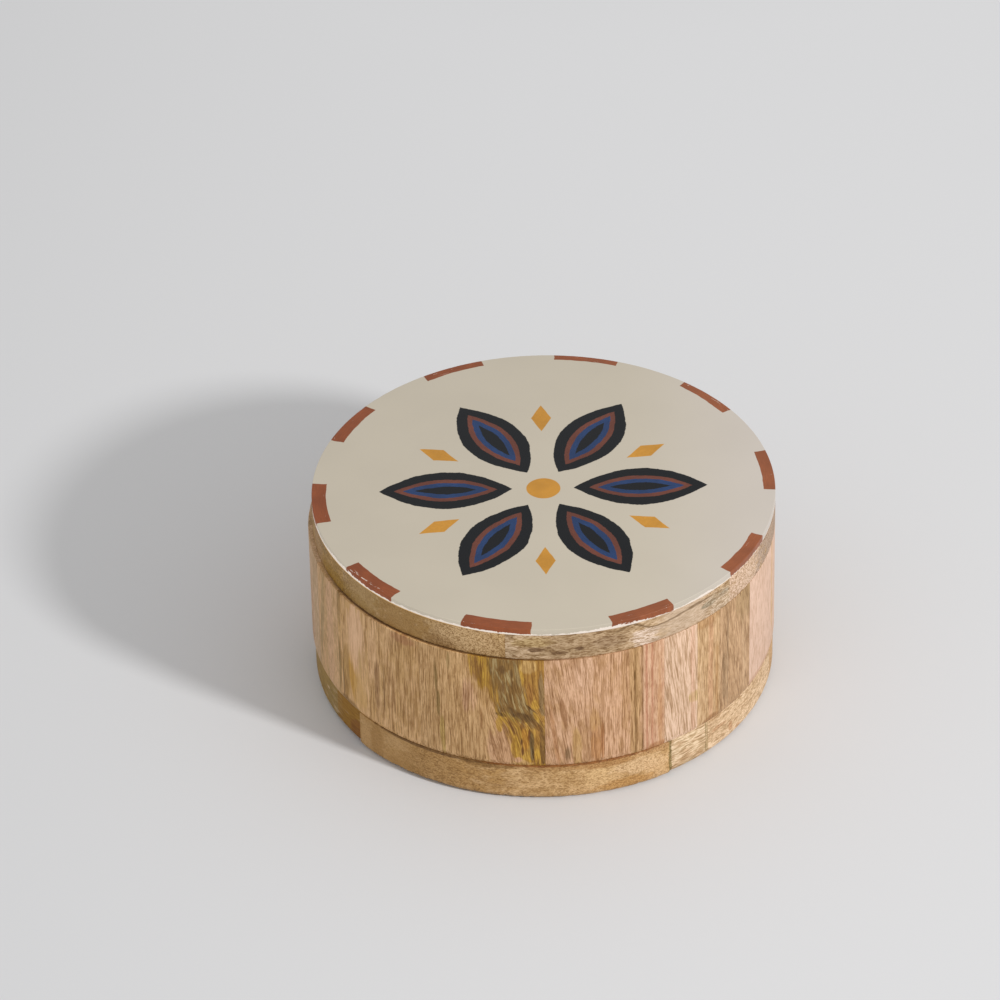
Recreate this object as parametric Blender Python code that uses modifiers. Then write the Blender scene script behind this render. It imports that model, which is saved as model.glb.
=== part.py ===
"""Round wooden keepsake box with a lift-off lid.

The base and the lid are discs edge-glued from boards, the wall is a ring of upright staves of
unlike width, and the lid carries a coat of enamel. Every wooden piece is sawn out of a turned
blank along its glue planes, so all the faces that meet come from the same profile.

The box stands on z = 0 with its axis on Z, and its front faces -Y. Angles round the box are
counted from the front, positive towards +X.
"""

import math

import bmesh
import bpy
from mathutils import Vector

# Driving dimensions, in metres
OUTER_RADIUS = 0.100
BASE_THICKNESS = 0.0182
WALL_HEIGHT = 0.0557
WALL_THICKNESS = 0.0090
LID_INSET = 0.0010
LID_THICKNESS = 0.0128
SPIGOT_DEPTH = 0.0050
ENAMEL_THICKNESS = 0.0022

# Edges
FOOT_ROUND = 0.0037
JOINT_EASE = 0.0004
MOUTH_EASE = 0.0008
ENAMEL_ROUND = 0.0013

# Fits
GLUE_LINE = 0.0003
REST_GAP = 0.0003
SPIGOT_CLEARANCE = 0.0013

# Radius of the lid and its enamel, a little inside the wall
LID_RADIUS = OUTER_RADIUS - LID_INSET

# Widths of the staves as shares of a full turn, beginning at the first joint's angle
FIRST_JOINT = math.radians(-73.5)
STAVE_SHARES = (12.5, 29, 31.5, 24.5, 5.8, 9.9, 7.8, 13, 27, 22, 31, 16, 26, 33, 20, 28, 23)

# Glue planes of the boards: the way their normal points, and their offsets as shares of the radius
LID_PLANES_FACE = math.radians(20.3)
LID_PLANE_SHARES = (0.860, 0.174, -0.450)
BASE_PLANES_FACE = math.radians(-10.6)
BASE_PLANE_SHARES = (0.744, 0.591, 0.040, -0.460)

# Smoothness of the turned faces
TURN_STEPS = 144
ROUND_STEPS = 5
SHARP_ANGLE = math.radians(30)
MERGE_DISTANCE = 0.000001

# Colours as seen, red, green and blue from 0 to 255
ENAMEL_COLOUR = (205, 194, 176)
BASE_COLOURS = ((188, 150, 105), (150, 112, 70), (184, 146, 102), (192, 154, 110), (180, 142, 98))
LID_COLOURS = ((190, 158, 112), (172, 142, 96), (180, 148, 104), (176, 146, 100))
STAVE_COLOURS = (
    (188, 156, 132), (178, 142, 106), (182, 142, 104), (212, 170, 142), (206, 142, 106),
    (226, 192, 160), (180, 148, 100), (150, 124, 88), (232, 202, 178), (196, 158, 118),
    (184, 146, 104), (210, 172, 140), (176, 140, 90), (200, 160, 120), (186, 150, 112),
    (216, 180, 150), (182, 146, 108),
)


def linear(colour):
    """Turn a colour as seen into the linear values that a shader takes."""
    shares = [channel / 255 for channel in colour]
    return [s / 12.92 if s <= 0.04045 else ((s + 0.055) / 1.055) ** 2.4 for s in shares]


def make_material(name, colour, roughness, coat=0.0):
    material = bpy.data.materials.new(name)
    material.use_nodes = True
    shader = material.node_tree.nodes["Principled BSDF"]
    shader.inputs["Base Color"].default_value = (*linear(colour), 1.0)
    shader.inputs["Roughness"].default_value = roughness
    shader.inputs["Metallic"].default_value = 0.0
    shader.inputs["Coat Weight"].default_value = coat
    material.diffuse_color = (*linear(colour), 1.0)
    return material


def round_corner(centre_x, centre_z, radius, start, end):
    """Points of a quarter round in the profile plane, from one angle to another."""
    points = []
    for step in range(ROUND_STEPS + 1):
        angle = start + (end - start) * step / ROUND_STEPS
        points.append((centre_x + radius * math.cos(angle), centre_z + radius * math.sin(angle)))
    return points


def base_profile():
    """Half section of the base, from its top centre down the outer side to its underside."""
    foot = round_corner(OUTER_RADIUS - FOOT_ROUND, FOOT_ROUND, FOOT_ROUND, 0.0, -math.pi / 2)
    return [
        (0.0, BASE_THICKNESS),
        (OUTER_RADIUS - JOINT_EASE, BASE_THICKNESS),
        (OUTER_RADIUS, BASE_THICKNESS - JOINT_EASE),
        *foot,
        (0.0, 0.0),
    ]


def wall_profile():
    """Section of the wall, with eased edges at the groove, at the lid and round the mouth."""
    bottom = BASE_THICKNESS + GLUE_LINE
    top = bottom + WALL_HEIGHT
    inner = OUTER_RADIUS - WALL_THICKNESS
    return [
        (inner + MOUTH_EASE, top),
        (OUTER_RADIUS - JOINT_EASE, top),
        (OUTER_RADIUS, top - JOINT_EASE),
        (OUTER_RADIUS, bottom + JOINT_EASE),
        (OUTER_RADIUS - JOINT_EASE, bottom),
        (inner, bottom),
        (inner, top - MOUTH_EASE),
    ]


def lid_place():
    """Where the lid's own axis and seat lie on the box.

    The lid is loose, and rests pushed over towards +X as far as its spigot's clearance lets it,
    so its rim comes flush with the wall there and leaves a lip of the wall showing opposite.
    """
    seat = BASE_THICKNESS + GLUE_LINE + WALL_HEIGHT + REST_GAP
    return SPIGOT_CLEARANCE - REST_GAP, 0.0, seat


def lid_profile():
    """Half section of the lid, measured from its seat, with the spigot that drops in the wall."""
    spigot_radius = OUTER_RADIUS - WALL_THICKNESS - SPIGOT_CLEARANCE
    return [
        (0.0, LID_THICKNESS),
        (LID_RADIUS, LID_THICKNESS),
        (LID_RADIUS, JOINT_EASE),
        (LID_RADIUS - JOINT_EASE, 0.0),
        (spigot_radius, 0.0),
        (spigot_radius, MOUTH_EASE - SPIGOT_DEPTH),
        (spigot_radius - MOUTH_EASE, -SPIGOT_DEPTH),
        (0.0, -SPIGOT_DEPTH),
    ]


def enamel_profile():
    """Half section of the enamel, with the rounded edge that a poured coat takes."""
    bottom = LID_THICKNESS + GLUE_LINE
    top = bottom + ENAMEL_THICKNESS
    edge_centre = LID_RADIUS - ENAMEL_ROUND, top - ENAMEL_ROUND
    edge = round_corner(*edge_centre, ENAMEL_ROUND, math.pi / 2, 0.0)
    return [(0.0, top), *edge, (LID_RADIUS, bottom), (0.0, bottom)]


def turn(name, profile, closed=False):
    """Turn a profile about Z with a Screw modifier and return the resulting mesh."""
    mesh = bpy.data.meshes.new(name)
    bm = bmesh.new()
    verts = [bm.verts.new((x, 0.0, z)) for x, z in profile]
    for first, second in zip(verts, verts[1:]):
        bm.edges.new((first, second))
    if closed:
        bm.edges.new((verts[-1], verts[0]))
    bm.to_mesh(mesh)
    bm.free()

    blank = bpy.data.objects.new(name, mesh)
    bpy.context.scene.collection.objects.link(blank)
    screw = blank.modifiers.new("turn", "SCREW")
    screw.axis = "Z"
    screw.angle = math.tau
    screw.steps = TURN_STEPS
    screw.render_steps = TURN_STEPS
    screw.use_merge_vertices = True
    screw.merge_threshold = MERGE_DISTANCE
    depsgraph = bpy.context.evaluated_depsgraph_get()
    turned = bpy.data.meshes.new_from_object(blank.evaluated_get(depsgraph))
    bpy.data.objects.remove(blank)
    return turned


def saw(bm, point, normal):
    """Saw off everything on the side that the normal points to, and close the cut face."""
    geometry = bm.verts[:] + bm.edges[:] + bm.faces[:]
    cut = bmesh.ops.bisect_plane(
        bm, geom=geometry, dist=MERGE_DISTANCE, plane_co=point, plane_no=normal, clear_outer=True
    )
    edges = [item for item in cut["geom_cut"] if isinstance(item, bmesh.types.BMEdge)]
    bmesh.ops.holes_fill(bm, edges=edges, sides=0)


def piece(name, blank, planes, material, collection, parent=None):
    """One solid cut from a turned blank, on the inner side of each of the planes."""
    bm = bmesh.new()
    bm.from_mesh(blank)
    for point, normal in planes:
        saw(bm, point, normal)
    bmesh.ops.recalc_face_normals(bm, faces=bm.faces[:])
    mesh = bpy.data.meshes.new(name)
    bm.to_mesh(mesh)
    bm.free()
    mesh.shade_smooth()
    mesh.set_sharp_from_angle(angle=SHARP_ANGLE)
    mesh.materials.append(material)

    obj = bpy.data.objects.new(name, mesh)
    obj.parent = parent
    collection.objects.link(obj)


def radial_plane(angle, side):
    """Half a glue line off the radial plane at an angle; side is +1 past it or -1 before it."""
    normal = side * Vector((math.cos(angle), math.sin(angle), 0.0))
    return -normal * GLUE_LINE / 2, normal


def chord_plane(facing, offset, side):
    """Half a glue line off the plane at an offset from the axis, whose normal faces an angle."""
    outward = Vector((math.sin(facing), -math.cos(facing), 0.0))
    normal = side * outward
    return outward * offset - normal * GLUE_LINE / 2, normal


def make_boards(prefix, blank, radius, facing, shares, finishes, collection, parent=None):
    """Saw a turned disc into boards along parallel glue planes, from the front to the back."""
    offsets = [share * radius for share in shares]
    for index, finish in enumerate(finishes):
        planes = []
        if index > 0:
            planes.append(chord_plane(facing, offsets[index - 1], 1))
        if index < len(offsets):
            planes.append(chord_plane(facing, offsets[index], -1))
        piece(f"{prefix}_{index + 1}", blank, planes, finish, collection, parent)


def make_staves(blank, finishes, collection):
    """Saw the turned ring into staves along radial glue planes."""
    start = FIRST_JOINT
    for index, (share, finish) in enumerate(zip(STAVE_SHARES, finishes)):
        end = start + math.tau * share / sum(STAVE_SHARES)
        planes = [radial_plane(start, -1), radial_plane(end, 1)]
        piece(f"stave_{index + 1:02d}", blank, planes, finish, collection)
        start = end


def wood_finishes(name, colours):
    return [
        make_material(f"{name}_wood_{index + 1}", colour, roughness=0.55)
        for index, colour in enumerate(colours)
    ]


def main():
    for obj in list(bpy.data.objects):
        bpy.data.objects.remove(obj)
    collection = bpy.data.collections.new("keepsake_box")
    bpy.context.scene.collection.children.link(collection)

    # The lid lifts straight up along this empty's Z axis
    lid_axis = bpy.data.objects.new("lid_axis", None)
    lid_axis.location = lid_place()
    collection.objects.link(lid_axis)

    base_blank = turn("base_blank", base_profile())
    wall_blank = turn("wall_blank", wall_profile(), closed=True)
    lid_blank = turn("lid_blank", lid_profile())
    enamel_blank = turn("enamel_blank", enamel_profile())

    make_boards(
        "base_board", base_blank, OUTER_RADIUS, BASE_PLANES_FACE, BASE_PLANE_SHARES,
        wood_finishes("base", BASE_COLOURS), collection,
    )
    make_staves(wall_blank, wood_finishes("stave", STAVE_COLOURS), collection)
    make_boards(
        "lid_board", lid_blank, LID_RADIUS, LID_PLANES_FACE, LID_PLANE_SHARES,
        wood_finishes("lid", LID_COLOURS), collection, lid_axis,
    )
    enamel = make_material("enamel", ENAMEL_COLOUR, roughness=0.22, coat=0.4)
    piece("enamel_top", enamel_blank, [], enamel, collection, lid_axis)

    for blank in (base_blank, wall_blank, lid_blank, enamel_blank):
        bpy.data.meshes.remove(blank)


main()
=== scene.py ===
"""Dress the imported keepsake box: turned and grained wood, a painted enamel lid and a pale studio.

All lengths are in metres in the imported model's frame: +Z up, the front faces -Y, and angles round
the box are counted from the front, positive towards +X. Every visible piece is turned afresh on
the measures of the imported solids, with hairline glue joints and worn edges.
"""

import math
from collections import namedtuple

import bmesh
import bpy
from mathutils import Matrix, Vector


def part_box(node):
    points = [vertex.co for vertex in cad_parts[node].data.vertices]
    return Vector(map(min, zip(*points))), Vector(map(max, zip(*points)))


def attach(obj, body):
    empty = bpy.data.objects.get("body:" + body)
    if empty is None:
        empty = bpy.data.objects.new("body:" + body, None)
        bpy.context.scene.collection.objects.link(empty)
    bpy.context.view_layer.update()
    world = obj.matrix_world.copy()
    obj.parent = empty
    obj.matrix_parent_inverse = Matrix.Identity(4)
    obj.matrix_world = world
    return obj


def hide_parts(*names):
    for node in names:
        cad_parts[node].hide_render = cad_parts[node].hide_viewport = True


bl_info = {
    "name": "Turned Keepsake Box",
    "version": (1, 0, 0),
    "blender": (4, 5, 0),
    "location": "View3D > Sidebar > Keepsake Box",
    "description": "Builds the wood, the enamel and the studio of a round keepsake box",
    "category": "Object",
}

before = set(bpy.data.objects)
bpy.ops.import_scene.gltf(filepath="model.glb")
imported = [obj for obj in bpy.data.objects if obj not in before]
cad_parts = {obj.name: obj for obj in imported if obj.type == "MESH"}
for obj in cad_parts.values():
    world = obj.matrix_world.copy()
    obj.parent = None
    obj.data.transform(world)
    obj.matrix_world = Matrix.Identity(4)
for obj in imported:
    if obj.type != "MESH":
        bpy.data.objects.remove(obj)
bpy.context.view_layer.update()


def reach(nodes):
    """Lowest and highest corner of several nodes together."""
    corners = [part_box(node) for node in nodes]
    lows, highs = zip(*corners)
    return Vector(map(min, *lows)), Vector(map(max, *highs))


def named(start):
    return sorted(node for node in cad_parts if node.startswith(start))


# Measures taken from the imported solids
BASE_NODES = named("base_board")
STAVE_NODES = named("stave")
LID_NODES = named("lid_board")
BASE_LOW, BASE_HIGH = reach(BASE_NODES)
WALL_LOW, WALL_HIGH = reach(STAVE_NODES)
LID_LOW, LID_HIGH = reach(LID_NODES)
ENAMEL_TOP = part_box("enamel_top")[1].z
OUTER_RADIUS = (BASE_HIGH.x - BASE_LOW.x) / 2
LID_RADIUS = (LID_HIGH.x - LID_LOW.x) / 2
LID_CENTRE = (LID_HIGH.x + LID_LOW.x) / 2

# The gap at a glue joint of the solids, what is left of it here between a piece and the one on it,
# and how far the enamel comes down over the edge of the lid's boards
GLUE_IN_SOLIDS = 0.0003
HAIRLINE = 0.00005
ENAMEL_SINK = 0.0006

# Seats of the visible pieces: the solids stand a glue line apart, and these all but meet
WALL_SEAT = BASE_HIGH.z + HAIRLINE
LID_SEAT = WALL_HIGH.z + HAIRLINE
ENAMEL_SEAT = LID_HIGH.z - ENAMEL_SINK

# Facing of the glue planes of the boards. A board that reaches this share of the radius ends at
# the rim and not at a glue plane
BASE_FACING = math.radians(-10.6)
LID_FACING = math.radians(20.3)
RIM_SHARE = 0.99

# How far the edges of the other pieces wear away, and in how many cells
WALL_WEAR = 0.0005
WALL_WEAR_SEED = 7.0
LID_WEAR = 0.0004
ENAMEL_WEAR = 0.0002
WEAR_CELLS = 24.0
ENAMEL_WEAR_CELLS = 40.0

# Fineness of the turned meshes
TURN_STEPS = 720
CORNER_STEPS = 4
FOOT_STEPS = 10
MERGE_DISTANCE = 0.000001
SHARP_ANGLE = math.radians(35)

# Noise cells per metre across the grain, and how much longer they are along it
PORE_CELLS = 2400
PORE_STRETCH = 6
STREAK_CELLS = 420
STREAK_STRETCH = 8
BAND_CELLS = 150
BAND_STRETCH = 7
MOTTLE_CELLS = 340
MOTTLE_STRETCH = 2
WANDER_CELLS = 300
WANDER_STRETCH = 5
WANDER_REACH = 0.0007
THREAD_FINENESS = 2.2
THREAD_LENGTH = 1.3

# Where each of those noises begins to show and shows in full
TONES_SHOW = (0.84, 1.16)
THREADS_SHOW = (0.48, 0.58)
LINES_SHOW = (0.49, 0.61)
PORES_SHOW = (0.56, 0.66)
PORES_SINK = (0.55, 0.75)

# Each piece of wood is cut from another place of the noise
SEED_STEP = 3.17
BASE_SEED = 1
WALL_SEED = 11
LID_SEED = 41


def linear(*colour):
    """A colour as seen, 0 to 255, in the linear values that a shader takes."""
    shares = [channel / 255 for channel in colour]
    return [s / 12.92 if s <= 0.04045 else ((s + 0.055) / 1.055) ** 2.4 for s in shares]


# A stain or streak in the wood, or painted shade and dirt in a groove or joint. Its angle is in
# degrees from the front and its height a share of the piece's; half and rise are half its width and
# height, lean is how far it moves aside from the bottom to the top, and ragged is how much the
# wood's streaks fray its outline
Mark = namedtuple(
    "Mark", "angle height half rise colour strength lean ragged", defaults=(0.0, 3.0)
)

# How a piece of wood looks: two tones, what a line lets through of them, how strongly lines and
# pores show, noise cells per metre across the grain, how much longer they are along it, how far
# the lines lean with the angles where they do so in full and not at all, its marks, how much longer
# the cells are into the wood, where it is calm as an angle and the half width of it, and the angles
# and heights that a dark vein follows
Wood = namedtuple(
    "Wood", "light deep line lines pores cells stretch lean marks depth calm vein",
    defaults=((0.0, 0, 1), (), 1.0, None, ()),
)

BROWN_LINE = (0.50, 0.40, 0.25)
OLIVE_LINE = (0.50, 0.44, 0.26)
RED_LINE = (0.58, 0.40, 0.29)
GREY_LINE = (0.55, 0.48, 0.38)

# The rosette on the lid in shares of its radius, and where bands of paint begin inside a petal
PETAL_MIDDLE = 0.42
PETAL_LENGTH = 0.29
PETAL_WIDTH = 0.135
PETAL_BANDS = (0.40, 0.58, 0.78)
LOZENGE_MIDDLE = 0.52
LOZENGE_LENGTH = 0.10
LOZENGE_WIDTH = 0.045
HEART_RADIUS = 0.075

# The dashes round the lid, in degrees and shares of its radius: how far apart they are, the middle
# of one, how far it reaches to either side, and where it begins on the way out
DASH_STEP = 36.0
DASH_START = -12.2
DASH_ENDS = (8.45, 8.3)
DASH_BEGINS = (0.947, 0.9485)

# The flame in the figured stave: its left edge, the two sides of its dark core and the course of
# its grain, each as shares of the stave's height with the angle there
FLAME_EDGE = (
    (0, -7.9), (0.1, -8.5), (0.2, -9.2), (0.3, -9.9), (0.38, -11.0), (0.45, -12.4), (0.52, -13.2),
    (0.6, -14.2), (0.68, -16.2), (0.78, -17.0), (0.88, -18.4), (1, -18.6),
)
CORE_LEFT = (
    (0.34, -2.5), (0.36, -3.2), (0.4, -5.0), (0.44, -8.5), (0.47, -10.3), (0.5, -12.0),
    (0.6, -12.0), (0.7, -12.3), (0.85, -12.9), (1, -13.9),
)
CORE_RIGHT = (
    (0.3, -1.0), (0.4, -1.3), (0.47, -2.4), (0.53, -3.2), (0.57, -4.4), (0.62, -4.9), (0.7, -5.2),
    (0.8, -5.6), (0.9, -6.0), (1, -6.1),
)
FLAME_COURSE = (
    (0, -3.5), (0.2, -4.2), (0.35, -5.2), (0.5, -7.5), (0.6, -8.6), (0.75, -9.4), (1, -9.8),
)

# The grain runs aside as far as its course lies from this angle: not at all left of the first angle
# below, and in full right of the second. Then the cells of the flame's own streaks, as above
COURSE_MIDDLE = -6.5
FLAME_PULL = (-17, -10)
FLOW_CELLS = 1000
FLOW_STRETCH = 9

FLAME_YELLOW = linear(196, 152, 46)
FLAME_OCHRE = linear(154, 110, 30)
FLAME_SIDE = linear(178, 132, 62)
FLAME_CORE = linear(140, 106, 56)
FLAME_GREY = linear(174, 152, 106)

FLAMED_STAVE = "stave_03"

SCORCH = linear(150, 100, 46)
SOOT = linear(94, 66, 28)
GOLD = linear(204, 160, 64)
AMBER = linear(202, 146, 56)
OLIVE = linear(140, 112, 58)
RUST = linear(170, 110, 56)
PINK = linear(222, 180, 150)
ROSE = linear(206, 158, 132)
STRAW = linear(198, 158, 100)
SMUDGE = linear(166, 124, 78)
GREY = linear(140, 114, 84)
# Dirt and painted shade in the joints and grooves between pieces
DIRT_AND_SHADE = linear(96, 62, 26)
GLUE = linear(136, 116, 64)

# Roughness and specular level of the lacquered wood and of the enamel
WOOD_ROUGHNESS = 0.5
WOOD_SPECULAR = 0.3
ENAMEL_ROUGHNESS = 0.3
ENAMEL_SPECULAR = 0.25

# Painted light on the floor, standing in for fill light against the lamp's falloff: its grey at the
# box, and how it changes to the right, to the back, outwards and aslant
FLOOR_LEVEL = 1.045
FLOOR_RIGHT = -0.16
FLOOR_BACK = 0.23
FLOOR_OUT = -0.5
FLOOR_ASLANT = 0.4
FLOOR_RANGE = (0.9, 1.16)

# How far the upper edges of the base's boards wear away
BASE_WEARS = (0.0010, 0.0004, 0.0004, 0.0008, 0.0008)

BASE_WOODS = {
    "base_board_1": Wood(
        linear(210, 173, 125), linear(189, 151, 101), BROWN_LINE, 0.6, 0.58, 1150, 2.4, marks=(
            Mark(-36, 0.5, 26, 2.0, linear(184, 142, 84), 0.75),
            Mark(-50, 0.4, 2.0, 0.5, linear(200, 160, 108), 0.6),
            Mark(-46, 0.5, 2.5, 0.6, linear(168, 126, 70), 0.6),
            Mark(-40, 0.75, 4.0, 0.2, linear(204, 164, 112), 0.6),
            Mark(-37, 0.2, 5.0, 0.2, linear(172, 130, 72), 0.6),
            Mark(13, 0.55, 4.0, 0.35, linear(216, 180, 130), 0.8),
            Mark(23, 0.66, 7.0, 0.25, linear(218, 184, 142), 0.8),
            Mark(27, 0.45, 3.0, 0.4, linear(218, 182, 138), 0.6),
            Mark(19, 0.22, 8.0, 0.16, linear(190, 142, 80), 0.6),
            # Along the top edge: painted shade and dirt in the groove under the wall
            Mark(14, 0.90, 9.0, 0.12, linear(172, 126, 74), 0.75, 0, 1.5),
            Mark(28, 0.94, 6.0, 0.09, linear(178, 136, 90), 0.7, 0, 1.5),
            Mark(0, 0.96, 8.0, 0.12, linear(162, 118, 66), 0.5, 0, 1.5),
            Mark(-27, 1.0, 20, 0.06, DIRT_AND_SHADE, 0.75, 0, 1.0),
            Mark(-15, 0.98, 8, 0.13, linear(124, 88, 40), 0.6, 0, 1.0),
            Mark(6, 1.0, 24, 0.045, linear(136, 82, 30), 0.85, 0, 1.0),
            Mark(31.4, 0.5, 0.4, 3.0, GLUE, 0.85),
        ), calm=(-46, 12)),
    "base_board_2": Wood(
        linear(223, 198, 165), linear(208, 177, 142), BROWN_LINE, 0.8, 0.25, 1000, 18, marks=(
            Mark(-58, 0.5, 14, 6.0, linear(155, 111, 30), 1.0),
            Mark(-54.5, 0.25, 3.0, 0.4, linear(142, 92, 32), 0.9),
            Mark(-63, 0.5, 2.0, 0.4, linear(160, 122, 62), 0.6),
            Mark(31.5, 0.5, 0.6, 3.0, GLUE, 0.85),
            Mark(31.6, 0.75, 0.5, 0.2, linear(110, 92, 50), 0.5),
            Mark(43.1, 0.5, 0.5, 3.0, GLUE, 0.75),
            Mark(37, 0.12, 3.4, 0.07, OLIVE, 0.35),
        ), depth=5.0, calm=(-58, 12)),
    "base_board_3": Wood(
        linear(222, 193, 159), linear(206, 175, 139), BROWN_LINE, 0.65, 0.45, 900, 7, marks=(
            Mark(-80, 0.5, 18, 6.0, linear(163, 130, 66), 1.0),
            Mark(-66, 0.3, 5.0, 0.8, linear(156, 128, 72), 0.7),
            Mark(43.3, 0.5, 0.3, 3.0, GLUE, 0.5),
            # Painted shade and dirt in the groove under the wall
            Mark(46, 0.97, 3.0, 0.06, linear(176, 136, 92), 0.5, 0, 1.0),
            Mark(52.3, 0.38, 0.9, 0.12, RUST, 0.5),
            Mark(55.5, 0.2, 1.0, 0.08, RUST, 0.4),
            Mark(47.5, 0.62, 3.0, 0.06, RUST, 0.4),
        ), depth=3.0, calm=(-72, 14)),
    "base_board_4": Wood(
        linear(204, 166, 122), linear(186, 148, 102), BROWN_LINE, 0.6, 0.5, 1000, 6, marks=(
            Mark(100, 0.5, 10, 1.0, linear(176, 138, 90), 0.6),
            Mark(-110, 0.4, 6, 0.5, linear(206, 172, 126), 0.6),
        )),
    "base_board_5": Wood(
        linear(200, 160, 114), linear(180, 142, 96), BROWN_LINE, 0.6, 0.5, 1000, 8, marks=(
            Mark(150, 0.5, 14, 0.6, linear(212, 178, 134), 0.6),
            Mark(-170, 0.3, 9, 0.3, linear(170, 128, 78), 0.6),
        )),
}

LID_WOODS = {
    "lid_board_1": Wood(
        linear(208, 180, 147), linear(178, 150, 115), BROWN_LINE, 0.75, 0.8, 1000, 4, marks=(
            Mark(-4, 0.7, 6, 0.2, linear(196, 168, 114), 0.6),
            Mark(10, 0.5, 10, 1.0, linear(170, 142, 108), 0.6),
            Mark(-3, 0.38, 2.2, 0.08, linear(112, 80, 48), 0.85),
            Mark(3, 0.25, 2.0, 0.06, linear(120, 88, 56), 0.7),
            Mark(7.5, 0.34, 1.4, 0.09, linear(108, 76, 46), 0.8),
            Mark(15, 0.45, 4.0, 0.3, linear(156, 128, 100), 0.5),
            Mark(24.5, 0.28, 3.8, 0.40, linear(224, 202, 184), 0.95),
            Mark(36, 0.5, 10.0, 2.0, linear(191, 168, 145), 0.75),
            Mark(43.5, 0.52, 2.6, 0.11, linear(140, 128, 106), 0.9),
            Mark(48.8, 0.58, 1.8, 0.09, linear(118, 108, 88), 0.9),
            Mark(46.5, 0.62, 4.5, 0.2, linear(186, 168, 144), 0.6),
            Mark(48, 0.25, 4.5, 0.3, linear(208, 188, 166), 0.6),
        ), depth=2.5, calm=(34, 8), vein=(
            (15, 0.72), (19, 0.9), (21, 0.96), (23, 0.82), (25, 0.68), (27, 0.62), (30, 0.66),
            (34, 0.72), (40, 0.79), (47, 0.82),
        )),
    "lid_board_2": Wood(
        linear(206, 172, 124), linear(182, 146, 98), BROWN_LINE, 0.8, 0.85, 1300, 2.2, marks=(
            Mark(-60, 0.25, 12, 0.3, linear(168, 130, 50), 0.85),
            Mark(-51, 0.6, 8, 0.9, linear(184, 149, 94), 0.7),
            Mark(-46, 0.65, 1.2, 0.25, linear(162, 142, 92), 0.5),
            Mark(-38, 0.5, 9, 2.0, linear(176, 136, 76), 0.8),
            Mark(-20, 0.6, 8, 0.6, linear(218, 184, 138), 0.7),
            Mark(-27, 0.15, 5, 0.3, linear(166, 128, 78), 0.6),
            Mark(58, 0.5, 10, 5.0, linear(215, 187, 164), 1.0),
            Mark(77, 0.5, 13, 5.0, linear(178, 155, 138), 0.9),
            # Dirt and painted shade along the lid's lower edge, over the joint with the wall
            Mark(-36, 0.0, 34, 0.035, DIRT_AND_SHADE, 0.9),
        ), calm=(-42, 15)),
    "lid_board_3": Wood(
        linear(194, 154, 92), linear(172, 135, 74), BROWN_LINE, 0.6, 0.5, 1000, 3, marks=(
            Mark(-64, 0.25, 9, 0.3, linear(168, 128, 44), 0.9),
            Mark(-77, 0.5, 5, 1.0, linear(188, 150, 108), 0.6),
            Mark(-72, 0.8, 3, 0.2, linear(160, 130, 84), 0.6),
            # Dirt and painted shade along the lid's lower edge, over the joint with the wall
            Mark(-60, 0.0, 12, 0.035, DIRT_AND_SHADE, 0.8),
            Mark(110, 0.5, 10, 0.6, linear(206, 174, 136), 0.6),
        )),
    "lid_board_4": Wood(
        linear(200, 166, 122), linear(178, 144, 98), BROWN_LINE, 0.7, 0.5, 900, 6, marks=(
            Mark(165, 0.6, 12, 0.3, linear(158, 126, 84), 0.6),
            Mark(-150, 0.4, 8, 0.4, linear(210, 182, 146), 0.6),
        ), depth=2.0),
}

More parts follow.
